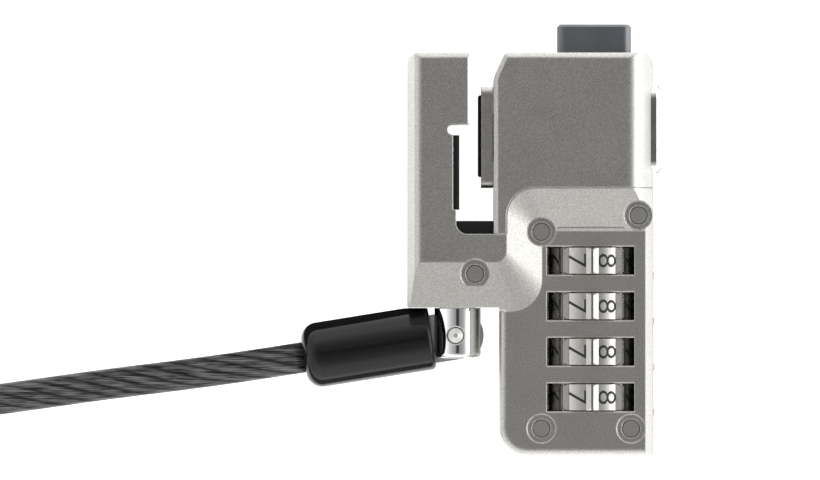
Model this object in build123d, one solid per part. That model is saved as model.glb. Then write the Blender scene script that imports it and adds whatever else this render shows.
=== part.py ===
from build123d import *
import math
import os

# A combination lock for a computer's kickstand, with a captive steel cable.
# Millimetres. The lock lies on its back: X runs across it from the hook arm to the push button, Y runs along it
# from the cable end to the release button, and Z is up, out of its front face. The origin is the middle of the
# head's footprint, on the surface that it lies on.

# ---------------------------------------------------------------- driving dimensions
# Head, along Y
RELEASE_PROUD = 5.05        # release button above the block
BLOCK_LENGTH = 32.16        # clamp block, from the seam at the foot to its top
SEAM_TO_WHEEL = 4.74        # seam to the middle of the first wheel
WHEEL_PITCH = 8.08
WHEEL_COUNT = 4
WHEEL_TO_BOTTOM = 10.31     # last wheel to the bottom end
FOOT_LENGTH = 13.08         # seam to the foot's lower edge
# Head, along X
BUTTON_PROUD = 1.6          # push button beyond the right wall
BODY_WIDTH = 43.7
ARM_WIDTH = 11.2
BLOCK_WIDTH = 28.35
SECTION_WIDTH = 27.3        # wheel section
WHEEL_INSET = 10.85         # right wall to the wheels' axis
# Head, along Z
DEPTH = 21.6                # at the hook and the clamp block
STEP = 3.0                  # the wheel section is this much thinner
SKIN = 1.6                  # rear wall and cover wall
# Sloped step between the two thicknesses
BAND_RISE = 8.22            # upper edge above the seam
BAND_INSET = 2.26           # left edge from the block's left side
BAND_DROP = 4.99            # lower edge below the seam, on the foot
RAMP_RUN_UP = 7.76
RAMP_RUN_SIDE = 6.36
RAMP_RUN_DOWN = 8.85
FOOT_GROOVE = 0.22          # fine groove along the ramp's foot, above the windows
FOOT_GROOVE_RISE = 0.72     # ramp's foot to the groove
FOOT_GROOVE_SPAN = (3.9, 15.9)
WINDOW_FLARE = 0.22         # chamfer along the windows' long edges
# Edges
ARM_CORNER = 2.1            # corner radii of the outlines
NOSE_CORNER = 0.5
SLOT_CORNER = 2.0
BAND_OUTER = 5.1
RAMP_CORNER = 5.7
SECTION_CORNER = 5.0
BLOCK_CUT = (2.0, 4.4)      # clamp block's slanted corner: across, down
BLOCK_CORNERS = (1.0, 5.0)  # radii at its two ends
RIGHT_CHAMFER = (2.5, 6.6)  # across, deep
RIGHT_ROUND = (3.0, 2.0)    # radii where it meets the face and the wall
LEFT_CHAMFER = (1.6, 4.1)
LEFT_ROUND = (1.6, 1.0)
END_CHAMFER = 0.75
END_ROUND = (0.9, 0.5)
SECTION_ROUND = 1.3
BLOCK_CHAMFER = (0.4, 0.8)  # deep, across
NOSE_CHAMFER = (0.3, 0.45)
RIDGE_PROUD = 0.3           # index ridges on the right wall
RIDGE_WIDTH = 1.3
RIDGE_DROP = 2.7            # a wheel's middle to its ridge
# Slot for the kickstand
NOTCH_DROP = 12.78          # block top to the notch in the arm
NOTCH_HEIGHT = 1.79
NOTCH_DEPTH = 4.0
ARM_PAD_DEPTH = 1.1
ARM_PAD_FACE = 1.94         # pad face set back from the arm's nose
SLOT_WALL_INSET = 2.5       # slot wall set back from the arm's nose
ARM_PAD_LIFT = 4.31         # pad's lower end above the seam
FLOOR_PAD_HEIGHT = 2.3
PAD_MARGIN = 0.8            # pads stop this far from the front and back
# Wheels
WHEEL_RADIUS = 9.1
WHEEL_WIDTH = 4.6
RIB_PROUD = 0.48            # ribs above the numerals' faces
RIB_DEPTH = 2.1
RIB_SLOPE = 0.42            # fall from a rib's middle to its edges
WHEEL_DIGITS = 10
RIB_WIDTH = 2.2
RIB_GROOVE = 0.4            # wide and deep
WHEEL_CHAMFER = 0.35
COMB_BACK = 11.9            # wheels' axis to the detent comb's back
COMB_THICKNESS = 0.4
COMB_LOW = 3.6              # table to its lower edge
COMB_FINGER = (2.4, 3.0)    # long, wide
COMB_FINGER_LOW = 7.0       # table to a finger
COMB_TIP = 2.0              # rise of a finger's tip
COMB_ROOM = 5.2             # its pocket, across
WINDOW_LEFT = 8.05
WINDOW_RIGHT = 7.45
HUB_RADIUS = 5.0
GATE_THICKNESS = 0.8
GATE_DROP = 0.5             # a wheel's middle to its gate's upper face
# Spindle and release button
SPINDLE_RADIUS = 2.2
LUG_RADIUS = 3.7
LUG_WIDTH = 2.0
LUG_THICKNESS = 0.7
LUG_CLEARANCE = 0.15
RELEASE_SIZE = (13.15, 11.0) # across, deep
RELEASE_ASIDE = 0.35        # spindle's axis to the button's middle
RELEASE_LENGTH = 8.2
RELEASE_ROUND = 1.5
RELEASE_CHAMFER = 0.45
RELEASE_SOCKET = 3.0        # how deep the spindle sits in it
CHAMBER_ROOF = 4.0          # face to the jaw's chamber
PLATE_LIP = 1.2             # rear plate's rim towards the slot
SCREW_INSET = 1.0           # chamber's corner to a screw
PUSH_CHAMFER = 0.95
PUSH_SPRING_ASIDE = 4.0     # button's middle to a spring
RIVETS = (                  # foot, then round the wheel section; from the walls and the ramp
    (12.07, -7.06),
    (-0.16, -0.07),
    (-2.63, 2.82),
    (-0.14, 4.77),
    (-3.97, 4.77),
)
RIVET_DOWN = 4.2            # the foot's rivet, down its ramp
RIVET_SINK = 0.25           # the others, below the wheel section's face
COLLAR_WIDTH = 0.8          # collar beyond the spindle, all round
COLLAR_THICKNESS = 0.6
# Jaw and push button
JAW_TRAVEL = 1.2
JAW_SIZE = (2.1, 18.0, 15.0)
JAW_ROUND = 1.3             # its long ends
JAW_CENTRE_DROP = 15.0      # block top to the jaw's middle
JAW_PAD = (0.55, 14.5, 12.6)
SHANK_SIZE = (8.6, 7.0)     # along Y, along Z
PUSH_SIZE = (15.8, 12.4)    # along Y, along Z
PUSH_CENTRE_DROP = 13.6     # block top to the push button's middle
PUSH_LENGTH = 3.25
PUSH_CORNER = 2.2
PUSH_SPRING = (1.4, 0.4)    # outer radius, wire
CHAMBER_WALL = 2.05
WEB_THICKNESS = 2.9         # between the jaw chamber and the push button's hole
# Pawl
PAWL_THICKNESS = 3.0
PAWL_LIFT = 0.85
PAWL_NOSE = 0.5
PAWL_EYE = 1.15
PAWL_PIN_RADIUS = 0.6
PAWL_PIN_END = 2.0          # short of the face
PAWL_PIN_INSET = 1.6        # chamber's wall to the pin
PAWL_NOSE_ASIDE = 4.2       # wheels' axis to the nose
PAWL_ARM = 0.9              # its arm's width
PAWL_TAIL = 1.4             # its tail's reach under the collar
# Rivets and screws
RIVET_RADIUS = 1.47
SPOTFACE_RADIUS = 2.56
RIVET_RING = 0.17           # groove round a rivet
RIVET_RING_DEPTH = 0.4
RIVET_FOOT = 0.65           # rivet's rear head beyond its shaft
RIVET_FOOT_HEIGHT = 0.9
SPOTFACE_DRAFT = 0.05       # its wall leans out by this share of its depth
SCREW_RADIUS = 0.8
SCREW_HEAD_RADIUS = 1.5
SCREW_REACH = 4.9           # rear face to the screws' tips
SCREW_SEAT = 0.8
SCREW_SOCKET = 0.5
PLATE_RIM = 3.2
# Swivel and cable
POST_RADIUS = 4.4
POST_INSET = 8.99           # left wall to the post's axis
POST_LENGTH = 9.0           # below the foot
NECK_RADIUS = 3.6
FLANGE_RADIUS = 4.8
FLANGE_THICKNESS = 1.4
PIN_RADIUS = 1.28
PIN_HEAD = (0.32, 0.9)      # its front end's cone: deep, across
PIN_DROP = 4.96             # foot's lower edge to the pin
PIN_OFFSET = 0.36           # pin towards the left of the post's axis
TONGUE_THICKNESS = 3.0
TONGUE_HALF_WIDTH = 4.3
TONGUE_REACH = 5.0
SLEEVE_RADIUS = 5.8
SLEEVE_WALL = 0.75          # round the recess that the post's edge swings in
SLEEVE_RECESS = 1.5
SLEEVE_ROUND = (1.0, 2.95)  # near and far end
SLEEVE_END = 27.3           # pin to the sleeve's far end
SLEEVE_TILT = 9.0           # degrees
SLEEVE_ASIDE = 0.4          # pin to the sleeve's axis, towards the foot
PIN_GROOVE = (0.35, 0.5)    # wide, deep
POST_ROUND = 0.9
FLANGE_SINK = 1.5           # foot's lower edge to the post's flange
CABLE_DIAMETER = 5.5
COIL_CENTRE = (-142.5, 6.75)
COIL_MID_RADIUS = 31.0
COIL_ROWS = 4
COIL_LAYERS = 2
CRIMP_SIZE = (14.0, 12.6, 6.5)
EYE_LENGTH = 44.0
EYE_WIDTH = 24.5
# Fits
FIT = 0.05                  # running fit, radial
CLEAR = 0.1                 # sliding clearance, each side
SEAM_GAP = 0.05
WHEEL_CLEARANCE = 0.12      # wheel to its chamber, each side
BORE_CLEARANCE = 0.2        # spindle and lugs inside the code rings
SLEEVE_CLEARANCE = 0.06     # post to the sleeve
CHAMBER_BELOW = 8.14        # jaw's middle to the chamber's lower wall
CHAMBER_ABOVE = 7.86

# ---------------------------------------------------------------- places worked out from them
HEAD_LENGTH = RELEASE_PROUD + BLOCK_LENGTH + SEAM_TO_WHEEL + (WHEEL_COUNT - 1) * WHEEL_PITCH + WHEEL_TO_BOTTOM
HEAD_WIDTH = BODY_WIDTH + BUTTON_PROUD
BOTTOM = -HEAD_LENGTH / 2
TOP = HEAD_LENGTH / 2 - RELEASE_PROUD
SEAM = TOP - BLOCK_LENGTH
FOOT_BOTTOM = SEAM - FOOT_LENGTH
LEFT = -HEAD_WIDTH / 2
RIGHT = LEFT + BODY_WIDTH
ARM_INNER = LEFT + ARM_WIDTH
BLOCK_LEFT = RIGHT - BLOCK_WIDTH
SECTION_LEFT = RIGHT - SECTION_WIDTH
FACE = DEPTH - STEP
MID = DEPTH / 2
AXIS_X = RIGHT - WHEEL_INSET
WHEEL_YS = [SEAM - SEAM_TO_WHEEL - k * WHEEL_PITCH for k in range(WHEEL_COUNT)]
BAND_TOP = SEAM + BAND_RISE
BAND_LEFT = BLOCK_LEFT + BAND_INSET
BAND_BOTTOM = SEAM - BAND_DROP
RAMP_TOP = BAND_TOP - RAMP_RUN_UP
RAMP_LEFT = BAND_LEFT + RAMP_RUN_SIDE
RAMP_BOTTOM = BAND_BOTTOM - RAMP_RUN_DOWN
WHEEL_FACE = WHEEL_RADIUS - RIB_PROUD
WINDOW_HEIGHT = WHEEL_WIDTH + 2 * WHEEL_CLEARANCE
HUB_BORE = LUG_RADIUS + BORE_CLEARANCE
GATE_RADIUS = SPINDLE_RADIUS + BORE_CLEARANCE
COLLAR_RADIUS = SPINDLE_RADIUS + COLLAR_WIDTH
SLEEVE_START = POST_RADIUS - PIN_OFFSET + SLEEVE_CLEARANCE
TRAVEL = GATE_THICKNESS + LUG_THICKNESS + 2 * LUG_CLEARANCE
NOTCH_TOP = TOP - NOTCH_DROP
SLOT_WALL = ARM_INNER - SLOT_WALL_INSET
PUSH_Y = TOP - PUSH_CENTRE_DROP
PUSH_Z = MID - 1.0
JAW_Y = TOP - JAW_CENTRE_DROP
CHAMBER_LEFT = BLOCK_LEFT + CHAMBER_WALL
CHAMBER_RIGHT = RIGHT - CHAMBER_WALL - 1.1 - WEB_THICKNESS
CHAMBER_BOTTOM = JAW_Y - CHAMBER_BELOW
CHAMBER_TOP = JAW_Y + CHAMBER_ABOVE
POST_X = LEFT + POST_INSET
PIN_X = POST_X - PIN_OFFSET
PIN_Y = FOOT_BOTTOM - PIN_DROP
CABLE_RADIUS = CABLE_DIAMETER / 2


# ---------------------------------------------------------------- helpers
def block(x0, x1, y0, y1, z0, z1):
    """A box between six planes."""
    return Pos((x0 + x1) / 2, (y0 + y1) / 2, (z0 + z1) / 2) * Box(x1 - x0, y1 - y0, z1 - z0)


def rod(radius, start, end):
    """A round bar from one point to another."""
    start, end = Vector(*start), Vector(*end)
    way = end - start
    base = Cylinder(radius, way.length, align=(Align.CENTER, Align.CENTER, Align.MIN))
    return Plane(origin=start, z_dir=way.normalized()) * base


def outline(corners, plane=Plane.XY):
    """A face whose outline turns at each (x, y, radius) with an arc of that radius."""
    edges, ends = [], []
    for i, (x, y, radius) in enumerate(corners):
        here = Vector(x, y)
        back = (Vector(*corners[i - 1][:2]) - here).normalized()
        ahead = (Vector(*corners[(i + 1) % len(corners)][:2]) - here).normalized()
        start = end = here
        if radius:
            half = math.radians(back.get_angle(ahead)) / 2
            start = here + back * (radius / math.tan(half))
            end = here + ahead * (radius / math.tan(half))
            middle = here + (back + ahead).normalized() * (radius / math.sin(half) - radius)
            edges.append(Edge.make_three_point_arc(start, middle, end))
        ends.append((start, end))
    for i, (_, end) in enumerate(ends):
        following = ends[(i + 1) % len(ends)][0]
        if (following - end).length > 1e-6:
            edges.append(Edge.make_line(end, following))
    face = Face(Wire(edges))
    if face.normal_at().Z < 0:
        face = -face
    return plane * face


def prism(corners, z0, z1):
    """An outline in XY, extruded from one height to another."""
    return Pos(0, 0, z0) * extrude(outline(corners), z1 - z0)


def spring(radius, wire, start, end, turns):
    """A compression spring between two points, its coil centred on the line between them."""
    start, end = Vector(*start), Vector(*end)
    way = end - start
    height = way.length - wire
    helix = Helix(pitch=height / turns, height=height, radius=radius)
    section = Plane(origin=helix @ 0, z_dir=helix % 0) * Circle(wire / 2)
    coil = Pos(0, 0, wire / 2) * sweep(section, path=helix, is_frenet=True)
    return Plane(origin=start, z_dir=way.normalized()) * coil


def save(name, shape):
    """Write one sub-part."""
    export_step(shape, f"parts/{name}.step")


# ---------------------------------------------------------------- outer shape of the castings
def cover_corners():
    """Outline of the hook, the foot, the band and the wheel section."""
    notch_end = ARM_INNER - NOTCH_DEPTH
    notch_bottom = NOTCH_TOP - NOTCH_HEIGHT
    notch_round = NOTCH_HEIGHT * 0.48
    pocket = ARM_INNER - ARM_PAD_FACE - ARM_PAD_DEPTH
    pad_bottom = SEAM + ARM_PAD_LIFT
    return [
        (LEFT, TOP, ARM_CORNER),
        (ARM_INNER, TOP, NOSE_CORNER),
        (ARM_INNER, NOTCH_TOP, NOSE_CORNER),
        (notch_end, NOTCH_TOP, notch_round),
        (notch_end, notch_bottom, notch_round),
        (pocket, notch_bottom, 0),
        (pocket, pad_bottom, 0),
        (SLOT_WALL, pad_bottom, 0),
        (SLOT_WALL, SEAM, SLOT_CORNER),
        (BAND_LEFT, SEAM, 0),
        (BAND_LEFT, BAND_TOP, BAND_OUTER),
        (RIGHT, BAND_TOP, 0),
        (RIGHT, BOTTOM, 0),
        (SECTION_LEFT, BOTTOM, SECTION_CORNER),
        (SECTION_LEFT, FOOT_BOTTOM, 0),
        (LEFT, FOOT_BOTTOM, NOSE_CORNER),
    ]


def block_corners():
    """Outline of the clamp block, which meets the cover along the seam and the band."""
    across, down = BLOCK_CUT
    return [
        (BLOCK_LEFT, SEAM, 0),
        (BAND_LEFT, SEAM, 0),
        (BAND_LEFT, BAND_TOP, BAND_OUTER),
        (RIGHT, BAND_TOP, 0),
        (RIGHT, TOP, ARM_CORNER),
        (BLOCK_LEFT + across, TOP, BLOCK_CORNERS[0]),
        (BLOCK_LEFT, TOP - down, BLOCK_CORNERS[1]),
    ]


def step_frustum():
    """The room above the wheel section's face: it narrows upwards, and its sides are the ramp."""
    far = 6.0
    low = [
        (LEFT - far, TOP + far, 0),
        (RIGHT + far, TOP + far, 0),
        (RIGHT + far, RAMP_TOP, 0),
        (RAMP_LEFT, RAMP_TOP, NOSE_CORNER),
        (RAMP_LEFT, RAMP_BOTTOM, RAMP_CORNER),
        (LEFT - far, RAMP_BOTTOM, 0),
    ]
    high = [
        (LEFT - far, TOP + far, 0),
        (RIGHT + far, TOP + far, 0),
        (RIGHT + far, BAND_TOP, 0),
        (BAND_LEFT, BAND_TOP, BAND_OUTER),
        (BAND_LEFT, BAND_BOTTOM, SLOT_CORNER),
        (LEFT - far, BAND_BOTTOM, 0),
    ]
    return loft([Pos(0, 0, FACE) * outline(low), Pos(0, 0, DEPTH) * outline(high)], ruled=True)


def edge_profile():
    """What the long edges' and the top edge's chamfers leave of a plain slab."""
    across, deep = RIGHT_CHAMFER
    across_left, deep_left = LEFT_CHAMFER
    section = [
        (LEFT, 0, 0),
        (RIGHT, 0, 0),
        (RIGHT, DEPTH - deep, RIGHT_ROUND[1]),
        (RIGHT - across, DEPTH, RIGHT_ROUND[0]),
        (LEFT + across_left, DEPTH, LEFT_ROUND[0]),
        (LEFT, DEPTH - deep_left, LEFT_ROUND[1]),
    ]
    along = [
        (BOTTOM, 0, 0),
        (TOP, 0, 0),
        (TOP, DEPTH - END_CHAMFER, END_ROUND[1]),
        (TOP - END_CHAMFER, DEPTH, END_ROUND[0]),
        (BOTTOM, DEPTH, 0),
    ]
    across_plane = Plane(origin=(0, BOTTOM - 1, 0), x_dir=(1, 0, 0), z_dir=(0, -1, 0))
    along_plane = Plane(origin=(LEFT - 1, 0, 0), x_dir=(0, 1, 0), z_dir=(1, 0, 0))
    sides = extrude(outline(section, across_plane), -(HEAD_LENGTH + 2))
    ends = extrude(outline(along, along_plane), HEAD_WIDTH + 2)
    return sides & ends


def is_section_edge(edge):
    """Whether an edge of the face runs along the wheel section's left side or bottom."""
    middle = edge.center()
    beside = middle.X < SECTION_LEFT + 3 and middle.Y < FOOT_BOTTOM - 1
    below = middle.Y < BOTTOM + 3
    return abs(middle.Z - FACE) < 1e-4 and (beside or below)


def cover_blank():
    """The cover's outer shape at full depth, before it is split from the rear casting."""
    low = prism(cover_corners(), 0, FACE)
    low = fillet(low.edges().filter_by(is_section_edge), SECTION_ROUND)
    high = step_frustum() & prism(cover_corners(), FACE, DEPTH)
    boss = rod(SPOTFACE_RADIUS, (*rivet_places()[2][:2], MID), rivet_places()[2])
    return ((low + high) & edge_profile()) - nose_wedge() + boss


def nose_wedge():
    """What the chamfer on the front edge of the arm's nose takes away."""
    deep, across = NOSE_CHAMFER
    section = [
        (ARM_INNER - 2 * across, DEPTH + deep, 0),
        (ARM_INNER + across, DEPTH - 2 * deep, 0),
        (ARM_INNER + across, DEPTH + deep, 0),
    ]
    plane = Plane(origin=(0, NOTCH_TOP - 1, 0), x_dir=(1, 0, 0), z_dir=(0, -1, 0))
    return extrude(outline(section, plane), -(TOP - NOTCH_TOP + 2))


def index_ridges():
    """A short ridge beside each wheel on the right wall."""
    half = RIDGE_WIDTH / 2
    middles = [y - RIDGE_DROP for y in WHEEL_YS]
    ridges = [block(RIGHT - 1, RIGHT + RIDGE_PROUD, y - half, y + half, MID + 0.8, MID + 3.6) for y in middles]
    return ridges


def clamp_block_blank():
    """The clamp block's outer shape."""
    solid = prism(block_corners(), 0, DEPTH)
    edges = solid.edges().filter_by(
        lambda e: abs(e.center().Z - DEPTH) < 1e-4 and e.center().X < BLOCK_LEFT + 1.9 and e.center().Y > SEAM + 1
    )
    top = solid.faces().sort_by(Axis.Z)[-1]
    return chamfer(edges, BLOCK_CHAMFER[1], BLOCK_CHAMFER[0], reference=top) & edge_profile()


# ---------------------------------------------------------------- cuts shared by the two castings
def rivet_places():
    """Each rivet's place and the height of its spotface."""
    corners = ((LEFT, SEAM), (RAMP_LEFT, RAMP_TOP), (RIGHT, RAMP_TOP), (RAMP_LEFT, BOTTOM), (RIGHT, BOTTOM))
    heights = (DEPTH - STEP * RIVET_DOWN / RAMP_RUN_DOWN, *[FACE - RIVET_SINK] * 4)
    return [(x + aside, y + up, z) for (x, y), (aside, up), z in zip(corners, RIVETS, heights)]


def flare(x, y, z0, z1, low_radius, high_radius):
    """An upright cone frustum between two heights."""
    return Pos(x, y, (z0 + z1) / 2) * Cone(low_radius, high_radius, z1 - z0)


def rivet_bores():
    """Bores, drafted spotfaces, grooves and rear counterbores for the rivets."""
    cuts = []
    for x, y, height in rivet_places():
        top = DEPTH + 1
        ring_low = height - RIVET_RING_DEPTH
        cuts.append(rod(RIVET_RADIUS, (x, y, -1), (x, y, height)))
        cuts.append(flare(x, y, height, top, SPOTFACE_RADIUS, SPOTFACE_RADIUS + SPOTFACE_DRAFT * (top - height)))
        cuts.append(flare(x, y, ring_low, height, RIVET_RADIUS, RIVET_RADIUS + RIVET_RING))
        cuts.append(rod(RIVET_RADIUS + RIVET_FOOT, (x, y, -1), (x, y, RIVET_FOOT_HEIGHT)))
    return cuts


def ramp_groove():
    """Fine groove along the ramp's foot."""
    x0, x1 = FOOT_GROOVE_SPAN
    height = FACE + STEP * FOOT_GROOVE_RISE / RAMP_RUN_UP
    square = Rot(45, 0, 0) * Box(x1 - x0, FOOT_GROOVE, FOOT_GROOVE)
    return Pos((x0 + x1) / 2, RAMP_TOP + FOOT_GROOVE_RISE, height) * square


def window_flare(y):
    """Chamfers along a window's long edges."""
    half = WINDOW_HEIGHT / 2
    section = [
        (y - half, FACE - WINDOW_FLARE, 0),
        (y + half, FACE - WINDOW_FLARE, 0),
        (y + half + 2 * WINDOW_FLARE, FACE + WINDOW_FLARE, 0),
        (y - half - 2 * WINDOW_FLARE, FACE + WINDOW_FLARE, 0),
    ]
    plane = Plane(origin=(AXIS_X - WINDOW_LEFT, 0, 0), x_dir=(0, 1, 0), z_dir=(1, 0, 0))
    return extrude(outline(section, plane), WINDOW_LEFT + WINDOW_RIGHT)


def wheel_cuts():
    """Wheel chambers, windows and the bore that the code rings turn in."""
    cuts = []
    half = WINDOW_HEIGHT / 2
    for y in WHEEL_YS:
        cuts.append(rod(WHEEL_RADIUS + 0.2, (AXIS_X, y - half, MID), (AXIS_X, y + half, MID)))
        cuts.append(block(AXIS_X - WINDOW_LEFT, AXIS_X + WINDOW_RIGHT, y - half, y + half, MID, DEPTH + 1))
        cuts.append(window_flare(y))
    reach = WHEEL_PITCH / 2
    cuts.append(rod(HUB_RADIUS + FIT, (AXIS_X, WHEEL_YS[-1] - reach, MID), (AXIS_X, WHEEL_YS[0] + reach, MID)))
    low = (AXIS_X, BOTTOM + SKIN, MID)
    cuts.append(rod(SPINDLE_RADIUS + FIT, low, (AXIS_X, CHAMBER_BOTTOM + 1, MID)))
    cuts.append(rod(SPINDLE_RADIUS + 0.4, low, (AXIS_X, WHEEL_YS[-1] - reach - 0.4, MID)))
    return cuts


def comb_pocket():
    """Room for the detent spring comb beside the wheels."""
    left = AXIS_X - COMB_BACK - 3 * CLEAR
    low, high = WHEEL_YS[-1] - WHEEL_PITCH / 2, WHEEL_YS[0] + WINDOW_HEIGHT / 2
    return block(left, left + COMB_ROOM, low, high, COMB_LOW, MID)


def post_cuts(spare=FIT):
    """Bore and flange pocket for the swivel post."""
    flange_low = FOOT_BOTTOM + FLANGE_SINK
    return [
        rod(NECK_RADIUS + spare, (POST_X, FOOT_BOTTOM - 1, MID), (POST_X, flange_low + 0.5, MID)),
        rod(FLANGE_RADIUS + spare, (POST_X, flange_low, MID), (POST_X, flange_low + FLANGE_THICKNESS + 2 * FIT, MID)),
    ]


def chamber():
    """The jaw's chamber in the clamp block, open to the rear."""
    return block(CHAMBER_LEFT, CHAMBER_RIGHT, CHAMBER_BOTTOM, CHAMBER_TOP, SKIN, DEPTH - CHAMBER_ROOF)


def plate_box(spare=0.0):
    """The rear plate's outline, larger than the chamber all round."""
    rim = PLATE_RIM + spare
    return block(
        CHAMBER_LEFT - PLATE_LIP - spare, CHAMBER_RIGHT + rim, CHAMBER_BOTTOM - rim, CHAMBER_TOP + rim, -spare, SKIN
    )


def screw_places():
    """Four screws in the rear plate's rim."""
    xs = (CHAMBER_LEFT + SCREW_INSET, CHAMBER_RIGHT - SCREW_INSET)
    ys = (CHAMBER_BOTTOM - PLATE_RIM / 2, CHAMBER_TOP + PLATE_RIM / 2)
    return [(x, y) for x in xs for y in ys]


def shank_box(spare=0.0):
    """The jaw's shank, from the jaw to the push button."""
    half_y, half_z = SHANK_SIZE[0] / 2 + spare, SHANK_SIZE[1] / 2 + spare
    end = RIGHT + BUTTON_PROUD - PUSH_LENGTH
    return block(BLOCK_LEFT - CLEAR, end, JAW_Y - half_y, JAW_Y + half_y, MID - half_z, MID + half_z)


def push_shape(x0, x1, spare=0.0):
    """The push button's rounded outline between two planes across X."""
    half_y, half_z = PUSH_SIZE[0] / 2 + spare, PUSH_SIZE[1] / 2 + spare
    corners = [
        (PUSH_Y - half_y, PUSH_Z - half_z, PUSH_CORNER),
        (PUSH_Y + half_y, PUSH_Z - half_z, PUSH_CORNER),
        (PUSH_Y + half_y, PUSH_Z + half_z, PUSH_CORNER),
        (PUSH_Y - half_y, PUSH_Z + half_z, PUSH_CORNER),
    ]
    plane = Plane(origin=(x0, 0, 0), x_dir=(0, 1, 0), z_dir=(1, 0, 0))
    return extrude(outline(corners, plane), x1 - x0)


def release_shape(y0, y1, spare=0.0):
    """The release button's block between two planes across Y."""
    half_x, half_z = RELEASE_SIZE[0] / 2 + spare, RELEASE_SIZE[1] / 2 + spare
    middle = AXIS_X + RELEASE_ASIDE
    solid = block(middle - half_x, middle + half_x, y0, y1, MID - half_z, MID + half_z)
    return fillet(solid.edges().filter_by(Axis.Y), RELEASE_ROUND + spare)


def push_spring_places():
    """The two return springs' axes, side by side behind the shank."""
    z = MID - SHANK_SIZE[1] / 2 - CLEAR - PUSH_SPRING[0] - 4 * CLEAR
    return [(PUSH_Y - PUSH_SPRING_ASIDE, z), (PUSH_Y + PUSH_SPRING_ASIDE, z)]


# ---------------------------------------------------------------- castings and what closes them
def front_cover():
    """Hook arm, foot front, band and the wheel windows, in one casting."""
    solid = cover_blank() + index_ridges()
    rear = block(LEFT - 1, RIGHT + 1, BOTTOM - 1, TOP + 1, -1, MID)
    arm = block(LEFT - 1, BLOCK_LEFT, SEAM, TOP + 1, -2, MID + 1)
    solid = solid - (rear - arm)
    seam = Pos(0, 0, MID) * extrude(offset(outline(block_corners()), SEAM_GAP), DEPTH)
    for cut in [seam, *rivet_bores(), ramp_groove(), *wheel_cuts(), *post_cuts()]:
        solid -= cut
    return solid


def body_casting():
    """Clamp block at full depth, with the rear halves of the wheel section and the foot."""
    arm = block(LEFT - 1, BLOCK_LEFT, SEAM, TOP + 1, -2, MID + 1)
    rear = (cover_blank() & block(LEFT - 1, RIGHT + 1, BOTTOM - 1, TOP + 1, -1, MID)) - arm
    solid = clamp_block_blank() + rear
    cuts = [*rivet_bores(), *wheel_cuts(), *post_cuts(), comb_pocket(), chamber(), plate_box()]
    cuts.append(shank_box(CLEAR))
    hole_start = CHAMBER_RIGHT + WEB_THICKNESS
    cuts.append(push_shape(hole_start, RIGHT + 1, CLEAR))
    release_low = TOP + RELEASE_PROUD - RELEASE_LENGTH - TRAVEL - 0.3
    cuts.append(release_shape(release_low, TOP + 1, CLEAR))
    cuts.append(rod(SPINDLE_RADIUS + FIT, (AXIS_X, CHAMBER_TOP - 1, MID), (AXIS_X, release_low + 1, MID)))
    for y, z in push_spring_places():
        cuts.append(rod(PUSH_SPRING[0] + 0.3, (CHAMBER_RIGHT + 0.5, y, z), (hole_start + 1, y, z)))
    for x, y in screw_places():
        cuts.append(rod(SCREW_RADIUS, (x, y, 0), (x, y, SCREW_REACH + CLEAR)))
    cuts.append(rod(PAWL_PIN_RADIUS, (*pawl_pivot(), SKIN), (*pawl_pivot(), DEPTH - PAWL_PIN_END)))
    for cut in cuts:
        solid -= cut
    return solid


def rear_plate():
    """Plate let into the back of the clamp block."""
    solid = plate_box(-CLEAR) & block(LEFT, RIGHT, BOTTOM, TOP, 0.0, SKIN)
    for x, y in screw_places():
        solid -= rod(SCREW_RADIUS + CLEAR, (x, y, -1), (x, y, SKIN + 1))
        solid -= rod(SCREW_HEAD_RADIUS + CLEAR, (x, y, -1), (x, y, SCREW_SEAT))
    return solid


def plate_screws():
    """Flat-headed screws that hold the rear plate."""
    screws = []
    for x, y in screw_places():
        head = rod(SCREW_HEAD_RADIUS, (x, y, CLEAR), (x, y, SCREW_SEAT))
        shank = rod(SCREW_RADIUS, (x, y, SCREW_SEAT), (x, y, SCREW_REACH))
        screws.append(head + shank - rod(SCREW_SOCKET, (x, y, 0), (x, y, SCREW_SEAT - 0.2)))
    return Compound(children=screws)


def housing_rivets():
    """Five rivets through both castings."""
    rivets = []
    for x, y, height in rivet_places():
        shaft = rod(RIVET_RADIUS, (x, y, CLEAR), (x, y, height))
        rivets.append(shaft + rod(RIVET_RADIUS + RIVET_FOOT, (x, y, CLEAR), (x, y, RIVET_FOOT_HEIGHT)))
    return Compound(children=rivets)


def arm_pad():
    """Rubber pad in the arm's pocket, facing the jaw."""
    face = ARM_INNER - ARM_PAD_FACE
    top, low = NOTCH_TOP - NOTCH_HEIGHT - 0.1, SEAM + ARM_PAD_LIFT
    solid = block(face - ARM_PAD_DEPTH, face, low, top, PAD_MARGIN, DEPTH - PAD_MARGIN)
    return chamfer(solid.edges().filter_by(Axis.Y).group_by(Axis.X)[-1], 0.5)


def floor_pad(cover):
    """Rubber pad on the slot's floor."""
    solid = block(SLOT_WALL, BLOCK_LEFT, SEAM, SEAM + FLOOR_PAD_HEIGHT, PAD_MARGIN, DEPTH - PAD_MARGIN)
    return solid - cover


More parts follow.
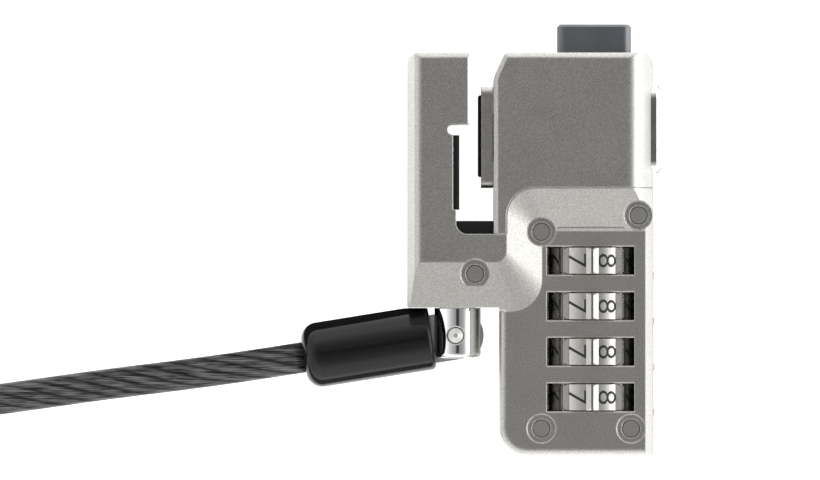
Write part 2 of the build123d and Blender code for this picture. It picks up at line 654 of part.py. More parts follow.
# ---------------------------------------------------------------- wheels
def number_wheel(y):
    """Ten curved faces for numerals between ten grooved ribs, bored for its code ring."""
    half = WHEEL_WIDTH / 2
    turn = 360 / WHEEL_DIGITS
    core = Pos(0, 0, half) * Cylinder(WHEEL_FACE, WHEEL_WIDTH)
    edge, middle = RIB_WIDTH / 2, RIB_GROOVE / 2
    rib = prism(
        [
            (WHEEL_RADIUS - RIB_DEPTH, -edge, 0),
            (WHEEL_RADIUS - RIB_SLOPE, -edge, 0),
            (WHEEL_RADIUS, -middle, 0),
            (WHEEL_RADIUS, middle, 0),
            (WHEEL_RADIUS - RIB_SLOPE, edge, 0),
            (WHEEL_RADIUS - RIB_DEPTH, edge, 0),
        ],
        0,
        WHEEL_WIDTH,
    )
    for k in range(WHEEL_DIGITS):
        groove = block(WHEEL_RADIUS - RIB_GROOVE, WHEEL_RADIUS + 1, -middle, middle, -1, WHEEL_WIDTH + 1)
        core += Rot(0, 0, turn * k) * rib
        core -= Rot(0, 0, turn * k) * groove
    rim = Pos(0, 0, half) * Cylinder(WHEEL_RADIUS, WHEEL_WIDTH)
    rim = chamfer(rim.edges(), WHEEL_CHAMFER)
    wheel = (core & rim) - Pos(0, 0, half) * Cylinder(HUB_RADIUS, WHEEL_WIDTH + 2)
    upright = Plane(origin=(AXIS_X, y + half, MID), x_dir=(0, 0, 1), z_dir=(0, -1, 0))
    return upright * wheel


def code_ring(y):
    """Brass ring that a wheel turns, with a gate that lets the spindle's lug through at one number."""
    reach = WHEEL_PITCH / 2 - FIT / 2
    gate_high = y - GATE_DROP
    ring = rod(HUB_RADIUS, (AXIS_X, y - reach, MID), (AXIS_X, y + reach, MID))
    ring -= rod(HUB_BORE, (AXIS_X, y - reach - 1, MID), (AXIS_X, gate_high - GATE_THICKNESS, MID))
    ring -= rod(HUB_BORE, (AXIS_X, gate_high, MID), (AXIS_X, y + reach + 1, MID))
    ring -= rod(GATE_RADIUS, (AXIS_X, y - reach, MID), (AXIS_X, y + reach, MID))
    gate = LUG_WIDTH / 2 + 0.3
    return ring - block(AXIS_X - gate, AXIS_X + gate, y - reach, y + reach, MID, MID + HUB_BORE - 0.05)


def spindle():
    """Rod that the release button presses, with a lug for each code ring and a collar for the pawl."""
    low, high = spindle_low(), TOP + RELEASE_PROUD - RELEASE_LENGTH + RELEASE_SOCKET
    solid = rod(SPINDLE_RADIUS, (AXIS_X, low, MID), (AXIS_X, high, MID))
    tail = BOTTOM + SKIN + TRAVEL + 0.4
    solid += rod(SPINDLE_RADIUS - 0.9, (AXIS_X, tail, MID), (AXIS_X, low, MID))
    for y in WHEEL_YS:
        lug_low = y - GATE_DROP + LUG_CLEARANCE
        half = LUG_WIDTH / 2
        solid += block(AXIS_X - half, AXIS_X + half, lug_low, lug_low + LUG_THICKNESS, MID, MID + LUG_RADIUS)
    collar = collar_low()
    return solid + rod(COLLAR_RADIUS, (AXIS_X, collar, MID), (AXIS_X, collar + COLLAR_THICKNESS, MID))


def spindle_low():
    """Where the spindle narrows to its tail, just under the code rings."""
    return WHEEL_YS[-1] - WHEEL_PITCH / 2 - 2 * CLEAR


def collar_low():
    """Lower face of the spindle's collar, just under the shank."""
    return JAW_Y - SHANK_SIZE[0] / 2 - CLEAR - COLLAR_THICKNESS


def release_button():
    """Dark cap pressed on the spindle's upper end."""
    high = TOP + RELEASE_PROUD
    solid = release_shape(high - RELEASE_LENGTH, high)
    solid = chamfer(solid.faces().sort_by(Axis.Y)[-1].edges(), RELEASE_CHAMFER)
    low = high - RELEASE_LENGTH
    return solid - rod(SPINDLE_RADIUS, (AXIS_X, low, MID), (AXIS_X, low + RELEASE_SOCKET, MID))


def spindle_spring():
    """Spring under the spindle."""
    high = spindle_low()
    return spring(SPINDLE_RADIUS - 0.4, 0.5, (AXIS_X, BOTTOM + SKIN, MID), (AXIS_X, high, MID), 3)


def detent_spring():
    """Comb of four spring fingers that lean on the wheels."""
    back = AXIS_X - COMB_BACK
    end, half = back + COMB_FINGER[0], COMB_FINGER[1] / 2
    low, high = WHEEL_YS[-1] - WHEEL_WIDTH / 2, WHEEL_YS[0] + WHEEL_WIDTH / 2
    root = COMB_FINGER_LOW
    solid = block(back, back + COMB_THICKNESS, low, high, COMB_LOW, MID - 6 * CLEAR)
    for y in WHEEL_YS:
        solid += block(back, end, y - half, y + half, root, root + COMB_THICKNESS)
        solid += block(end - COMB_THICKNESS, end, y - half, y + half, root, root + COMB_TIP)
    return solid


# ---------------------------------------------------------------- jaw, push button and pawl
def clamp_jaw():
    """Jaw block outside the clamp block and the shank that carries it."""
    thick, tall, deep = JAW_SIZE
    right = BLOCK_LEFT - CLEAR
    head = block(right - thick, right, JAW_Y - tall / 2, JAW_Y + tall / 2, MID - deep / 2, MID + deep / 2)
    head = fillet(head.edges().filter_by(Axis.X), JAW_ROUND)
    solid = head + shank_box()
    window = SPINDLE_RADIUS + 0.2
    solid -= block(AXIS_X - window, AXIS_X + window + JAW_TRAVEL, JAW_Y - 10, JAW_Y + 10, MID - window, MID + window)
    for shift in (0.0, JAW_TRAVEL):
        solid -= notch_box(shift)
    return solid


def notch_box(shift):
    """A notch in the shank's lower edge for the pawl's nose."""
    low = JAW_Y - SHANK_SIZE[0] / 2
    nose_x = pawl_nose_x()
    return block(
        nose_x - PAWL_NOSE / 2 - 0.35 + shift,
        nose_x + PAWL_NOSE / 2 + 0.05 + shift,
        low - 1,
        low + PAWL_LIFT + 0.1,
        MID - PAWL_THICKNESS / 2 - 0.3,
        MID + PAWL_THICKNESS / 2 + 0.3,
    )


def jaw_pad():
    """Rubber pad on the jaw's face."""
    thick, tall, deep = JAW_PAD
    right = BLOCK_LEFT - CLEAR - JAW_SIZE[0]
    y, z = JAW_Y + 0.2, MID
    solid = block(right - thick, right, y - tall / 2, y + tall / 2, z - deep / 2, z + deep / 2)
    return chamfer(solid.edges().group_by(Axis.X)[0], 0.25)


def push_button():
    """Chrome button on the end of the shank."""
    tip = RIGHT + BUTTON_PROUD
    solid = push_shape(tip - PUSH_LENGTH, tip)
    return chamfer(solid.faces().sort_by(Axis.X)[-1].edges(), PUSH_CHAMFER)


def push_springs():
    """Two springs that push the button and the jaw back out."""
    start, end = CHAMBER_RIGHT + 0.55, RIGHT + BUTTON_PROUD - PUSH_LENGTH - 0.05
    outer, wire = PUSH_SPRING
    coils = [spring(outer - wire / 2, wire, (start, y, z), (end, y, z), 3) for y, z in push_spring_places()]
    return Compound(children=coils)


def pawl_pivot():
    """The pawl pin's place."""
    return CHAMBER_LEFT + PAWL_PIN_INSET, collar_low() - TRAVEL - 0.1


def pawl_nose_x():
    """Where the pawl's nose stands when it is in a notch."""
    return AXIS_X - PAWL_NOSE_ASIDE


def pawl_angle():
    """The swing in degrees that lifts the nose into a notch."""
    return math.degrees(math.asin(PAWL_LIFT / (pawl_nose_x() - pawl_pivot()[0])))


def latch_pawl():
    """Lever under the shank: its nose latches the jaw, and the spindle's collar presses its tail."""
    x, y = pawl_pivot()
    nose = pawl_nose_x()
    half = PAWL_THICKNESS / 2
    high = collar_low() - TRAVEL - 0.15
    solid = rod(PAWL_EYE, (x, y, MID - half), (x, y, MID + half))
    solid += block(x, AXIS_X - SPINDLE_RADIUS + PAWL_TAIL, high - PAWL_ARM, high, MID - half, MID + half)
    shank_low = JAW_Y - SHANK_SIZE[0] / 2
    solid += block(nose - PAWL_NOSE / 2, nose + PAWL_NOSE / 2, high - 0.2, shank_low - 0.15, MID - half, MID + half)
    window = SPINDLE_RADIUS + 0.3
    solid -= rod(window, (AXIS_X, high - 2, MID), (AXIS_X, high + 2, MID))
    return solid - rod(PAWL_PIN_RADIUS + FIT, (x, y, MID - 5), (x, y, MID + 5))


def pawl_pin():
    """Pin that the pawl turns on."""
    return rod(PAWL_PIN_RADIUS, (*pawl_pivot(), SKIN), (*pawl_pivot(), DEPTH - PAWL_PIN_END))


def pawl_spring():
    """Small torsion coil around the pawl pin."""
    x, y = pawl_pivot()
    low = MID + PAWL_THICKNESS / 2 + 0.1
    return spring(PAWL_PIN_RADIUS + 0.3, 0.3, (x, y, low), (x, y, low + 2.0), 4)


# ---------------------------------------------------------------- swivel
def swivel_post():
    """Post that turns in the foot, forked for the cable's tongue."""
    low = FOOT_BOTTOM - POST_LENGTH
    post = rod(POST_RADIUS, (POST_X, low, MID), (POST_X, FOOT_BOTTOM - CLEAR, MID))
    post = fillet(post.faces().sort_by(Axis.Y)[0].edges(), POST_ROUND)
    flange_low = FOOT_BOTTOM + FLANGE_SINK + FIT
    post += rod(NECK_RADIUS, (POST_X, FOOT_BOTTOM - CLEAR, MID), (POST_X, flange_low, MID))
    post += rod(FLANGE_RADIUS, (POST_X, flange_low, MID), (POST_X, flange_low + FLANGE_THICKNESS, MID))
    half = TONGUE_THICKNESS / 2 + CLEAR
    post -= block(POST_X - 9, POST_X + 9, low - 1, PIN_Y + TONGUE_REACH + 0.15, MID - half, MID + half)
    post -= rod(PIN_RADIUS, (PIN_X, PIN_Y, -1), (PIN_X, PIN_Y, DEPTH))
    wide, deep = PIN_GROOVE
    top = MID + POST_RADIUS
    return post - rod(PIN_RADIUS + wide, (PIN_X, PIN_Y, top - deep), (PIN_X, PIN_Y, top + deep))


def pivot_pin():
    """Pin through the fork and the tongue."""
    start, end = MID - POST_RADIUS + CLEAR, MID + POST_RADIUS + CLEAR
    pin = rod(PIN_RADIUS, (PIN_X, PIN_Y, start), (PIN_X, PIN_Y, end))
    head = pin.faces().sort_by(Axis.Z)[-1]
    return chamfer(head.edges(), *PIN_HEAD, reference=pin.faces().filter_by(GeomType.CYLINDER)[0])


def along_cable(distance):
    """A point on the sleeve's axis, at a distance from the pin."""
    tilt = math.radians(SLEEVE_TILT)
    return Vector(
        PIN_X - distance * math.cos(tilt) - SLEEVE_ASIDE * math.sin(tilt),
        PIN_Y - distance * math.sin(tilt) + SLEEVE_ASIDE * math.cos(tilt),
        MID,
    )


def sleeve_plane(distance=0.0):
    """A plane across the sleeve's axis."""
    return Plane(origin=along_cable(distance), x_dir=(0, 0, 1), z_dir=(along_cable(1) - along_cable(0)))


def cable_tongue():
    """Flat steel tongue on the cable's end, round about the pin."""
    half = TONGUE_THICKNESS / 2
    reach = SLEEVE_START + 6.0
    plate = Box(reach, 2 * TONGUE_HALF_WIDTH, TONGUE_THICKNESS, align=(Align.MIN, Align.CENTER, Align.CENTER))
    plate += Cylinder(TONGUE_REACH, TONGUE_THICKNESS) & Box(20, 2 * TONGUE_HALF_WIDTH, 20)
    plate -= Cylinder(PIN_RADIUS + FIT, 4 * half)
    place = Plane(origin=(PIN_X, PIN_Y, MID), x_dir=(along_cable(1) - along_cable(0)), z_dir=(0, 0, 1))
    return place * plate


def cable_sleeve():
    """Moulded sleeve over the tongue's root and the cable's end."""
    length = SLEEVE_END - SLEEVE_START
    body = Cylinder(SLEEVE_RADIUS, length, align=(Align.CENTER, Align.CENTER, Align.MIN))
    body = fillet(body.faces().sort_by(Axis.Z)[0].edges(), SLEEVE_ROUND[0])
    body = fillet(body.faces().sort_by(Axis.Z)[-1].edges(), SLEEVE_ROUND[1])
    cup = Cylinder(SLEEVE_RADIUS - SLEEVE_WALL, SLEEVE_RECESS, align=(Align.CENTER, Align.CENTER, Align.MIN))
    room = block(LEFT - length, POST_X, FOOT_BOTTOM - CLEAR, SEAM, 0, DEPTH)
    return (sleeve_plane(SLEEVE_START) * (body - cup)) - cable_tongue() - room


# ---------------------------------------------------------------- cable
def route_path(points):
    """Runs joined by tangent arcs, each as large as its two runs allow."""
    points = [Vector(*p) for p in points]
    radii = []
    for before, here, after in zip(points, points[1:], points[2:]):
        back, ahead = before - here, after - here
        half_turn = math.radians(180 - back.get_angle(ahead)) / 2
        radii.append(0.45 * min(back.length, ahead.length) / math.tan(half_turn))
    print("cord radii in mm:", [round(r, 1) for r in radii])
    return FilletPolyline(*points, radius=radii)


def tube(path):
    """A round tube along a path, solid."""
    section = Plane(origin=path @ 0, z_dir=path % 0) * Circle(CABLE_RADIUS)
    solid = sweep(section, path=path)
    print("cord length in mm:", round(path.length, 1), "volume ratio:", round(
        solid.volume / (math.pi * CABLE_RADIUS**2 * path.length), 4))
    return solid


def lead_points():
    """From the sleeve down to the table and along it to the coil."""
    start = along_cable(SLEEVE_END)
    second = along_cable(SLEEVE_END + 10.6)
    return [
        tuple(start),
        tuple(second),
        (-63.0, -24.1, 8.6),
        (-76.0, -25.7, 4.9),
        (-90.0, -27.7, 2.85),
        (-105.0, -29.8, CABLE_RADIUS),
        (-119.0, -31.5, CABLE_RADIUS),
    ]


def tail_points():
    """From the coil's upper outer turn down to the crimp."""
    crimp = crimp_start()
    return [
        (-157.0, -32.3, 8.1),
        (-170.0, -32.3, 6.3),
        (-183.0, -33.2, 3.8),
        crimp,
    ]


def crimp_start():
    """Where the cable goes into the crimp."""
    return -196.0, -33.4, CRIMP_SIZE[2] / 2


def cable_coil():
    """The outer shape of the put-away turns."""
    half = COIL_ROWS * CABLE_DIAMETER / 2
    height = COIL_LAYERS * CABLE_DIAMETER
    ring = Cylinder(COIL_MID_RADIUS + half, height) - Cylinder(COIL_MID_RADIUS - half, height + 2)
    return Pos(*COIL_CENTRE, height / 2) * ring


def eye_crimp():
    """Flattened ferrule that closes the eye."""
    x, y, z = crimp_start()
    length, width, thick = CRIMP_SIZE
    solid = block(x - length, x, y - width / 2, y + width / 2, z - thick / 2, z + thick / 2)
    return fillet(solid.edges().filter_by(Axis.X), thick * 0.42)


def eye_loop():
    """The cable's eye, beyond the crimp."""
    x, y, z = crimp_start()
    x -= CRIMP_SIZE[0]
    half, side = EYE_WIDTH / 2, CABLE_RADIUS + 0.1
    far = x - EYE_LENGTH + CABLE_RADIUS
    corners = [
        (x, y + side, z),
        (x - 8.0, y + side + 1.5, z),
        (x - 20.0, y + half, z),
        (far, y + half * 0.9, z),
        (far, y - half * 0.9, z),
        (x - 20.0, y - half, z),
        (x - 8.0, y - side - 1.5, z),
        (x, y - side, z),
    ]
    path = FilletPolyline(*corners, radius=[12.0, 14.0, half * 0.88, half * 0.88, 14.0, 12.0])
    section = Plane(origin=path @ 0, z_dir=path % 0) * Circle(CABLE_RADIUS)
    return sweep(section, path=path) & block(x - 99, x, y - 99, y + 99, -9, 99)


# ---------------------------------------------------------------- everything
def main():
    """Build every sub-part and write it."""
    os.makedirs("parts", exist_ok=True)
    cover = front_cover()
    save("front_cover", cover)
    save("body_casting", body_casting())
    save("rear_plate", rear_plate())
    save("plate_screws", plate_screws())
    save("housing_rivets", housing_rivets())
    save("arm_pad", arm_pad())
    save("floor_pad", floor_pad(cover))
    for number, y in enumerate(WHEEL_YS, 1):
        save(f"number_wheel_{number}", number_wheel(y))
        save(f"code_ring_{number}", code_ring(y))
    save("spindle", spindle())
    save("release_button", release_button())
    save("spindle_spring", spindle_spring())
    save("detent_spring", detent_spring())
    save("clamp_jaw", clamp_jaw())
    save("jaw_pad", jaw_pad())
    save("push_button", push_button())
    save("push_springs", push_springs())
    save("latch_pawl", latch_pawl())
    save("pawl_pin", pawl_pin())
    save("pawl_spring", pawl_spring())
    save("swivel_post", swivel_post())
    save("pivot_pin", pivot_pin())
    save("cable_tongue", cable_tongue())
    save("cable_sleeve", cable_sleeve())
    coil = cable_coil()
    save("cable_coil", coil)
    save("cable_lead", tube(route_path(lead_points())) - coil)
    crimp = eye_crimp()
    save("cable_tail", tube(route_path(tail_points())) - coil - crimp)
    save("eye_crimp", crimp)
    save("eye_loop", eye_loop())
    print("pawl swing in degrees:", round(pawl_angle(), 2), "release travel:", TRAVEL)


main()
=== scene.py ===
"""Finishes, numerals, cable and studio for a combination cable lock.

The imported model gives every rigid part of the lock. This script gives those parts their finishes, and adds
what it doesn't have: the printed numerals, and the twisted steel cable in its smoked sheath.
"""

import logging
import math
from dataclasses import dataclass
from enum import Enum

import bmesh
import bpy
from mathutils import Matrix, Vector


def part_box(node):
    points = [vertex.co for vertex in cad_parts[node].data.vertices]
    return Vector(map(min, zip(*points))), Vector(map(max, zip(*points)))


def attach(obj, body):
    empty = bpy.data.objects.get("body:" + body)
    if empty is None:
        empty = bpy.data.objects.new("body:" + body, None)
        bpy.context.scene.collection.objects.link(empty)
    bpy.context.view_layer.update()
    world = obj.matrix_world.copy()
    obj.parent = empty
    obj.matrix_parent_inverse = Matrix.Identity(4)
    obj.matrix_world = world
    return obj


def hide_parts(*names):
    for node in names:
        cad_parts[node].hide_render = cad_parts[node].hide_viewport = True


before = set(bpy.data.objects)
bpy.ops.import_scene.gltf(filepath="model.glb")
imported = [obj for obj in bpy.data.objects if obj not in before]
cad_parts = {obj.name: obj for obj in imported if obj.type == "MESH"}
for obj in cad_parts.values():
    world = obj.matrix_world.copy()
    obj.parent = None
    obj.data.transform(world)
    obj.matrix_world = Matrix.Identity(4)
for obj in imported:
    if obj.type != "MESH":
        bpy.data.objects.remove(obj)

log = logging.getLogger("cable_lock")

Colour = tuple[float, float, float]
Point = tuple[float, float, float]

MM = 0.001
WHEELS = (1, 2, 3, 4)


class Slot(Enum):
    """The record's material slots that the added pieces belong to."""

    WHEEL = "wheel_metal"
    CABLE = "sheathed_cable"


# ---------------------------------------------------------------- finishes
class NodeTree:
    """A material's node tree with a short way to add and join nodes."""

    def __init__(self, name: str) -> None:
        """Starts a material with one shader.

        Args:
            name: The material's name.
        """
        self.material = bpy.data.materials.new(name)
        self.material.use_nodes = True
        self.nodes = self.material.node_tree.nodes
        self.links = self.material.node_tree.links
        self.shader = self.nodes["Principled BSDF"]

    def add(self, kind: str, inputs: dict | None = None, **settings: object) -> bpy.types.Node:
        """Adds a node.

        Args:
            kind: The node's type name.
            inputs: Socket names or numbers, each with a value or with the output socket that feeds it.
            **settings: The node's own properties.

        Returns:
            The new node.
        """
        node = self.nodes.new(kind)
        for key, value in settings.items():
            setattr(node, key, value)
        for key, value in (inputs or {}).items():
            self.feed(node.inputs[key], value)
        return node

    def feed(self, socket: bpy.types.NodeSocket, value: object) -> None:
        """Sets a socket to a value, or joins an output to it.

        Args:
            socket: The input socket.
            value: A value, or an output socket.
        """
        if isinstance(value, bpy.types.NodeSocket):
            self.links.new(value, socket)
        else:
            socket.default_value = value

    def math(self, operation: str, *values: object) -> bpy.types.NodeSocket:
        """Adds a Math node.

        Args:
            operation: The operation's name.
            *values: One to three numbers or output sockets.

        Returns:
            The node's output.
        """
        return self.add("ShaderNodeMath", dict(enumerate(values)), operation=operation).outputs[0]

    def spread(self, value: bpy.types.NodeSocket, source: tuple[float, float],
               target: tuple[float, float]) -> bpy.types.NodeSocket:
        """Maps one range of numbers to another.

        Args:
            value: The output to map.
            source: The range that it comes in.
            target: The range that it leaves in.

        Returns:
            The mapped output.
        """
        inputs = {"Value": value, "From Min": source[0], "From Max": source[1],
                  "To Min": target[0], "To Max": target[1]}
        return self.add("ShaderNodeMapRange", inputs).outputs["Result"]

    def noise(self, size: float, stretch: Point = (1.0, 1.0, 1.0),
              detail: float = 2.0) -> bpy.types.NodeSocket:
        """Adds noise on object coordinates.

        Args:
            size: The size of its features, in metres.
            stretch: How much longer a feature is along each axis.
            detail: The noise's detail.

        Returns:
            The noise's value, about 0.5.
        """
        place = self.add("ShaderNodeTexCoord").outputs["Object"]
        scale = tuple(1.0 / (size * along) for along in stretch)
        mapped = self.add("ShaderNodeMapping", {"Vector": place, "Scale": scale}).outputs[0]
        return self.add("ShaderNodeTexNoise", {"Vector": mapped, "Scale": 1.0, "Detail": detail}).outputs[0]

    def tint(self, colour: Colour, amount: bpy.types.NodeSocket) -> bpy.types.NodeSocket:
        """Multiplies a colour by a number.

        Args:
            colour: The colour.
            amount: The number, about 1.

        Returns:
            The changed colour.
        """
        mix = self.add("ShaderNodeVectorMath", {0: colour}, operation="SCALE")
        self.links.new(amount, mix.inputs["Scale"])
        return mix.outputs[0]


@dataclass(frozen=True)
class Finish:
    """A finish with a grain: speckle in its colour, relief in its surface and slow patches in its gloss.

    Lengths are in metres. Features of the grain are longer along each axis by its stretch, and edges are
    softened by shading alone, over a radius.
    """

    name: str
    colour: Colour
    metallic: float = 0.0
    roughness: float = 0.5
    speckle: float = 0.1
    grain: float = 0.00025
    stretch: Point = (1.0, 1.0, 1.0)
    relief: float = 0.00001
    patches: float = 0.05
    patch_size: float = 0.006
    patch_detail: float = 3.0
    specular: float = 0.5
    softened: float = 0.0
    edge_samples: int = 6

    def make(self) -> bpy.types.Material:
        """Builds the material.

        Returns:
            The material.
        """
        tree = NodeTree(self.name)
        shader = tree.shader.inputs
        grain = tree.noise(self.grain, self.stretch)
        level = tree.spread(grain, (0.3, 0.7), (1.0 - self.speckle, 1.0 + self.speckle))
        tree.feed(shader["Base Color"], tree.tint(self.colour, level))
        patches = tree.noise(self.patch_size, detail=self.patch_detail)
        smoothest, roughest = self.roughness - self.patches, self.roughness + self.patches
        tree.feed(shader["Roughness"], tree.spread(patches, (0.35, 0.65), (smoothest, roughest)))
        bump = tree.add("ShaderNodeBump", {"Height": grain, "Distance": self.relief, "Strength": 1.0})
        if self.softened:
            edges = tree.add("ShaderNodeBevel", {"Radius": self.softened}, samples=self.edge_samples)
            tree.feed(bump.inputs["Normal"], edges.outputs[0])
        tree.feed(shader["Normal"], bump.outputs[0])
        tree.feed(shader["Metallic"], self.metallic)
        tree.feed(shader["Specular IOR Level"], self.specular)
        return tree.material


@dataclass(frozen=True)
class StrandFinish:
    """Twisted steel strands seen through a smoked clear sheath, with painted shade and highlights in their
    colour.

    It reads the cable's own UV map, where U is the share of the way round and V the distance along in metres.
    """

    name: str = "sheathed_strands"
    tone: Colour = (1.0, 1.0, 0.99)
    light: float = 0.17
    dark: float = 0.006
    strands: int = 9
    wires: int = 5
    pitch: float = 0.047
    wire_pitch: float = 0.11
    wire_shade: float = 0.55
    wire_height: float = 0.25
    groove: float = 0.7
    relief: float = 0.00012
    streak_radius: float = 7.0
    streaks_along: float = 160.0
    streak_scale: float = 1.6
    streak_detail: float = 3.0
    streak_range: tuple[float, float] = (0.05, 1.3)
    metallic: float = 0.45
    roughness: float = 0.42
    specular: float = 0.12
    coat: float = 0.12
    coat_roughness: float = 0.12

    def make(self) -> bpy.types.Material:
        """Builds the material.

        Returns:
            The material.
        """
        tree = NodeTree(self.name)
        shader = tree.shader.inputs
        place = tree.add("ShaderNodeSeparateXYZ", {0: tree.add("ShaderNodeTexCoord").outputs["UV"]})
        around, along = place.outputs[0], place.outputs[1]
        turn = tree.math("SUBTRACT", around, tree.math("DIVIDE", along, self.pitch))
        lay = tree.math("SUBTRACT", around, tree.math("DIVIDE", along, self.wire_pitch))
        strand = self.wave(tree, turn, self.strands)
        wire = self.wave(tree, lay, self.strands * self.wires)
        # Painted highlights: uneven lighter and darker streaks along the strands, put into the colour.
        streak_light = self.streaks(tree, lay, along)
        # Painted shade: the colour darkens into the grooves between strands and between wires, from light on
        # the ridges to dark in the grooves.
        wire_shaded = tree.spread(wire, (0.0, 1.0), (self.wire_shade, 1.0))
        rounded = tree.math("POWER", strand, self.groove)
        level = tree.math("MULTIPLY", rounded, tree.math("MULTIPLY", wire_shaded, streak_light))
        shade = tree.spread(level, (0.0, 1.0), (self.dark, self.light))
        tree.feed(shader["Base Color"], tree.tint(self.tone, shade))
        height = tree.math("ADD", strand, tree.math("MULTIPLY", wire, self.wire_height))
        bump = tree.add("ShaderNodeBump", {"Height": height, "Distance": self.relief, "Strength": 1.0})
        tree.feed(shader["Normal"], bump.outputs[0])
        tree.feed(shader["Metallic"], self.metallic)
        tree.feed(shader["Roughness"], self.roughness)
        tree.feed(shader["Specular IOR Level"], self.specular)
        tree.feed(shader["Coat Weight"], self.coat)
        tree.feed(shader["Coat Roughness"], self.coat_roughness)
        return tree.material

    def wave(self, tree: NodeTree, turn: bpy.types.NodeSocket, count: int) -> bpy.types.NodeSocket:
        """A row of rounded ridges across the twist.

        Args:
            tree: The material's nodes.
            turn: The place round the twist, in turns.
            count: Ridges in one turn.

        Returns:
            The ridges' height, from 0 in a groove to 1 on top.
        """
        angle = tree.math("MULTIPLY", turn, math.pi * count)
        return tree.math("ABSOLUTE", tree.math("SINE", angle))

    def streaks(self, tree: NodeTree, turn: bpy.types.NodeSocket,
                along: bpy.types.NodeSocket) -> bpy.types.NodeSocket:
        """Uneven light along the strands.

        Args:
            tree: The material's nodes.
            turn: The place round the twist, in turns.
            along: The distance along, in metres.

        Returns:
            A factor about 0.7.
        """
        angle = tree.math("MULTIPLY", turn, 2.0 * math.pi)
        place = {
            0: tree.math("MULTIPLY", tree.math("SINE", angle), self.streak_radius),
            1: tree.math("MULTIPLY", tree.math("COSINE", angle), self.streak_radius),
            2: tree.math("MULTIPLY", along, self.streaks_along),
        }
        vector = tree.add("ShaderNodeCombineXYZ", place).outputs[0]
        settings = {"Vector": vector, "Scale": self.streak_scale, "Detail": self.streak_detail}
        noise = tree.add("ShaderNodeTexNoise", settings).outputs[0]
        return tree.spread(noise, (0.35, 0.65), self.streak_range)


CASTING = Finish(
    "beadblast_zinc", (0.46, 0.451, 0.428), metallic=1.0, roughness=0.35, speckle=0.27, grain=0.00019,
    relief=0.000017, patches=0.008, softened=0.0003)
RIVET = Finish(
    "rivet_zinc", (0.48, 0.47, 0.44), metallic=1.0, roughness=0.34, speckle=0.2, grain=0.00018,
    relief=0.00001, patches=0.01)
BRIGHT = Finish(
    "turned_steel", (0.82, 0.81, 0.79), metallic=1.0, roughness=0.34, speckle=0.06, grain=0.00012,
    relief=0.000002)
STEEL = Finish(
    "plain_steel", (0.58, 0.57, 0.555), metallic=1.0, roughness=0.34, speckle=0.12, grain=0.0002,
    relief=0.000006)
BLACK_STEEL = Finish(
    "black_oxide", (0.05, 0.05, 0.052), metallic=0.7, roughness=0.42, speckle=0.2, grain=0.0002,
    relief=0.000006)
RUBBER = Finish(
    "matte_rubber", (0.009, 0.009, 0.009), roughness=0.75, speckle=0.25, grain=0.0003,
    relief=0.00002, specular=0.15)
BUTTON = Finish(
    "dark_anodised", (0.14, 0.148, 0.155), metallic=0.65, roughness=0.38, speckle=0.06, grain=0.00015,
    relief=0.000003)
CHROME = Finish(
    "polished_chrome", (0.88, 0.88, 0.88), metallic=1.0, roughness=0.06, speckle=0.01, grain=0.0004,
    relief=0.0000006, patches=0.02, softened=0.0002)
SATIN_CHROME = Finish(
    "satin_chrome", (0.84, 0.84, 0.84), metallic=1.0, roughness=0.17, speckle=0.02, grain=0.0004,
    relief=0.000001, patches=0.02, softened=0.0003)
WHEEL = Finish(
    "satin_wheel", (0.58, 0.57, 0.545), metallic=1.0, roughness=0.27, speckle=0.1, grain=0.00012,
    stretch=(1.0, 9.0, 1.0), relief=0.000003)
BRASS = Finish(
    "turned_brass", (0.62, 0.5, 0.3), metallic=1.0, roughness=0.28, speckle=0.08, grain=0.00015,
    relief=0.000004)
SLEEVE = Finish(
    "gloss_black", (0.006, 0.006, 0.006), roughness=0.14, speckle=0.2, grain=0.0006,
    relief=0.000003, patches=0.02, specular=0.3)
ALLOY = Finish(
    "pressed_alloy", (0.62, 0.61, 0.6), metallic=1.0, roughness=0.3, speckle=0.1, grain=0.0004,
    stretch=(4.0, 1.0, 1.0), relief=0.00001)
INK = Finish(
    "numeral_ink", (0.008, 0.008, 0.008), roughness=0.45, speckle=0.2, grain=0.0002,
    relief=0.000002)


@dataclass
class FrameParts:
    """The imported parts, grouped by the finish that each wears."""

    wearing: tuple[tuple[Finish, tuple[str, ...]], ...] = (
        (CASTING, ("front_cover", "body_casting", "rear_plate", "clamp_jaw")),
        (BRIGHT, ("pivot_pin",)),
        (STEEL, ("spindle", "latch_pawl", "pawl_pin", "pawl_spring", "push_springs", "spindle_spring",
                 "detent_spring", "cable_tongue")),
        (BLACK_STEEL, ("plate_screws",)),
        (RUBBER, ("arm_pad", "floor_pad", "jaw_pad")),
        (BUTTON, ("release_button",)),
        (CHROME, ("swivel_post",)),
        (WHEEL, tuple(f"number_wheel_{number}" for number in WHEELS)),
        (BRASS, tuple(f"code_ring_{number}" for number in WHEELS)),
        (SLEEVE, ("cable_sleeve",)),
        (RIVET, ("housing_rivets",)),
        (SATIN_CHROME, ("push_button",)),
        (ALLOY, ("eye_crimp",)),
    )

    def dress(self) -> None:
        """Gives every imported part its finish."""
        for finish, names in self.wearing:
            self.wear(finish, names)

    def wear(self, finish: Finish, names: tuple[str, ...]) -> None:
        """Gives some parts one finish.

        Args:
            finish: The finish.
            names: The parts' node names.
        """
        material = finish.make()
        for name in names:
            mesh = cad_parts[name].data
            mesh.materials.clear()
            mesh.materials.append(material)
        log.info("%s on %s", finish.name, ", ".join(names))


# ---------------------------------------------------------------- pieces
def as_piece(name: str, shape: bmesh.types.BMesh, material: bpy.types.Material,
             body: str, smooth: bool = True) -> bpy.types.Object:
    """Turns a finished shape into a piece that rides on a body.

    Args:
        name: The piece's name.
        shape: The shape, which is freed.
        material: Its material.
        body: The body that it rides on.
        smooth: Whether its faces are shaded smooth.

    Returns:
        The piece.
    """
    mesh = bpy.data.meshes.new(name)
    for face in shape.faces:
        face.smooth = smooth
    shape.to_mesh(mesh)
    shape.free()
    mesh.materials.append(material)
    piece = bpy.data.objects.new(name, mesh)
    bpy.context.scene.collection.objects.link(piece)
    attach(piece, body)
    log.info("%s rides on %s", name, body)
    return piece


